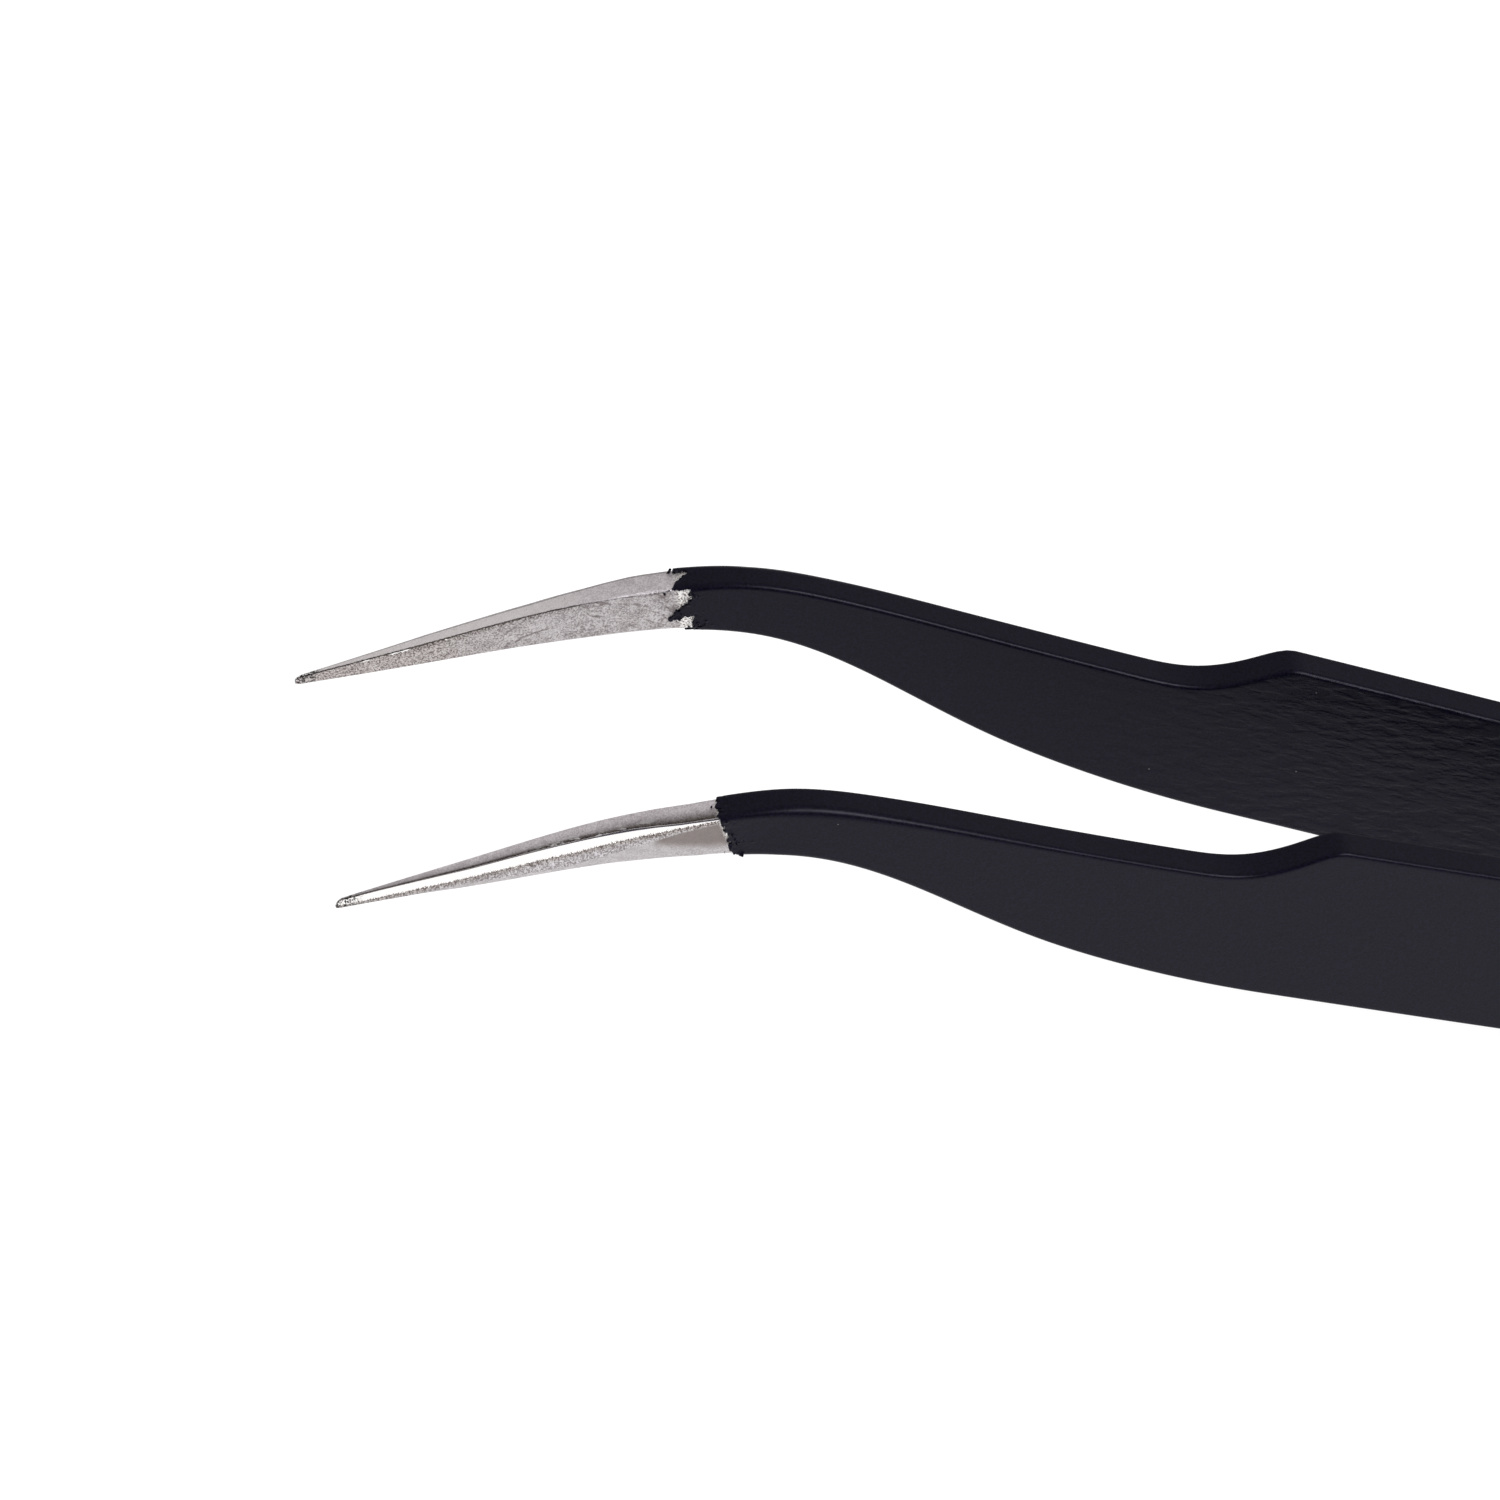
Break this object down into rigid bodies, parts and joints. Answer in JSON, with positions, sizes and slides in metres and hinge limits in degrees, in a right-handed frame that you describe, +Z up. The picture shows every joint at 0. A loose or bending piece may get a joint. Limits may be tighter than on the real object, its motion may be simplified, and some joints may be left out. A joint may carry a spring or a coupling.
{
  "type": "curved fine-point tweezers",
  "caption": "Sprung steel tweezers with fine ground tips that curve down, a stepped finger grip and a thin black coat over all but the tips.",
  "frame": {"origin": "bottom centre of the object as it stands on edge on a table, on both tips and the tail's lower edge", "axes": "+X from the tips to the tail, +Y towards the right blade (seen from the tail, looking at the tips), +Z up; the blades open along Y"},
  "size_m": [0.12, 0.0156, 0.0122],
  "materials": {
    "ground_steel": "ground and blasted, with a polished crest along the outer face",
    "spring_steel": "rolled stock",
    "weld_metal": "remelted",
    "black_coat": "satin with a fine orange peel"
  },
  "bodies": {
    "tail": {"left_tang": "spring_steel", "right_tang": "spring_steel", "front_spot_weld": "weld_metal", "rear_spot_weld": "weld_metal", "tail_coat": "black_coat"},
    "left_arm": {"left_blade": "ground_steel", "left_blade_coat": "black_coat", "left_spring_leaf": "spring_steel", "left_spring_coat": "black_coat"},
    "right_arm": {"right_blade": "ground_steel", "right_blade_coat": "black_coat", "right_spring_leaf": "spring_steel", "right_spring_coat": "black_coat"}
  },
  "joints": [
    {"name": "left_arm_flex", "type": "hinge", "parent": "tail", "child": "left_arm", "pos_m": [0.046, -0.00065, 0.0038], "axis": [0, 0, -1], "range_deg": [0, 3.66], "stiffness_Nm_per_rad": 2.5, "deforming": ["left_spring_leaf", "left_spring_coat"]},
    {"name": "right_arm_flex", "type": "hinge", "parent": "tail", "child": "right_arm", "pos_m": [0.046, 0.00065, 0.0038], "axis": [0, 0, 1], "range_deg": [0, 3.66], "stiffness_Nm_per_rad": 2.5, "deforming": ["right_spring_leaf", "right_spring_coat"]}
  ]
}
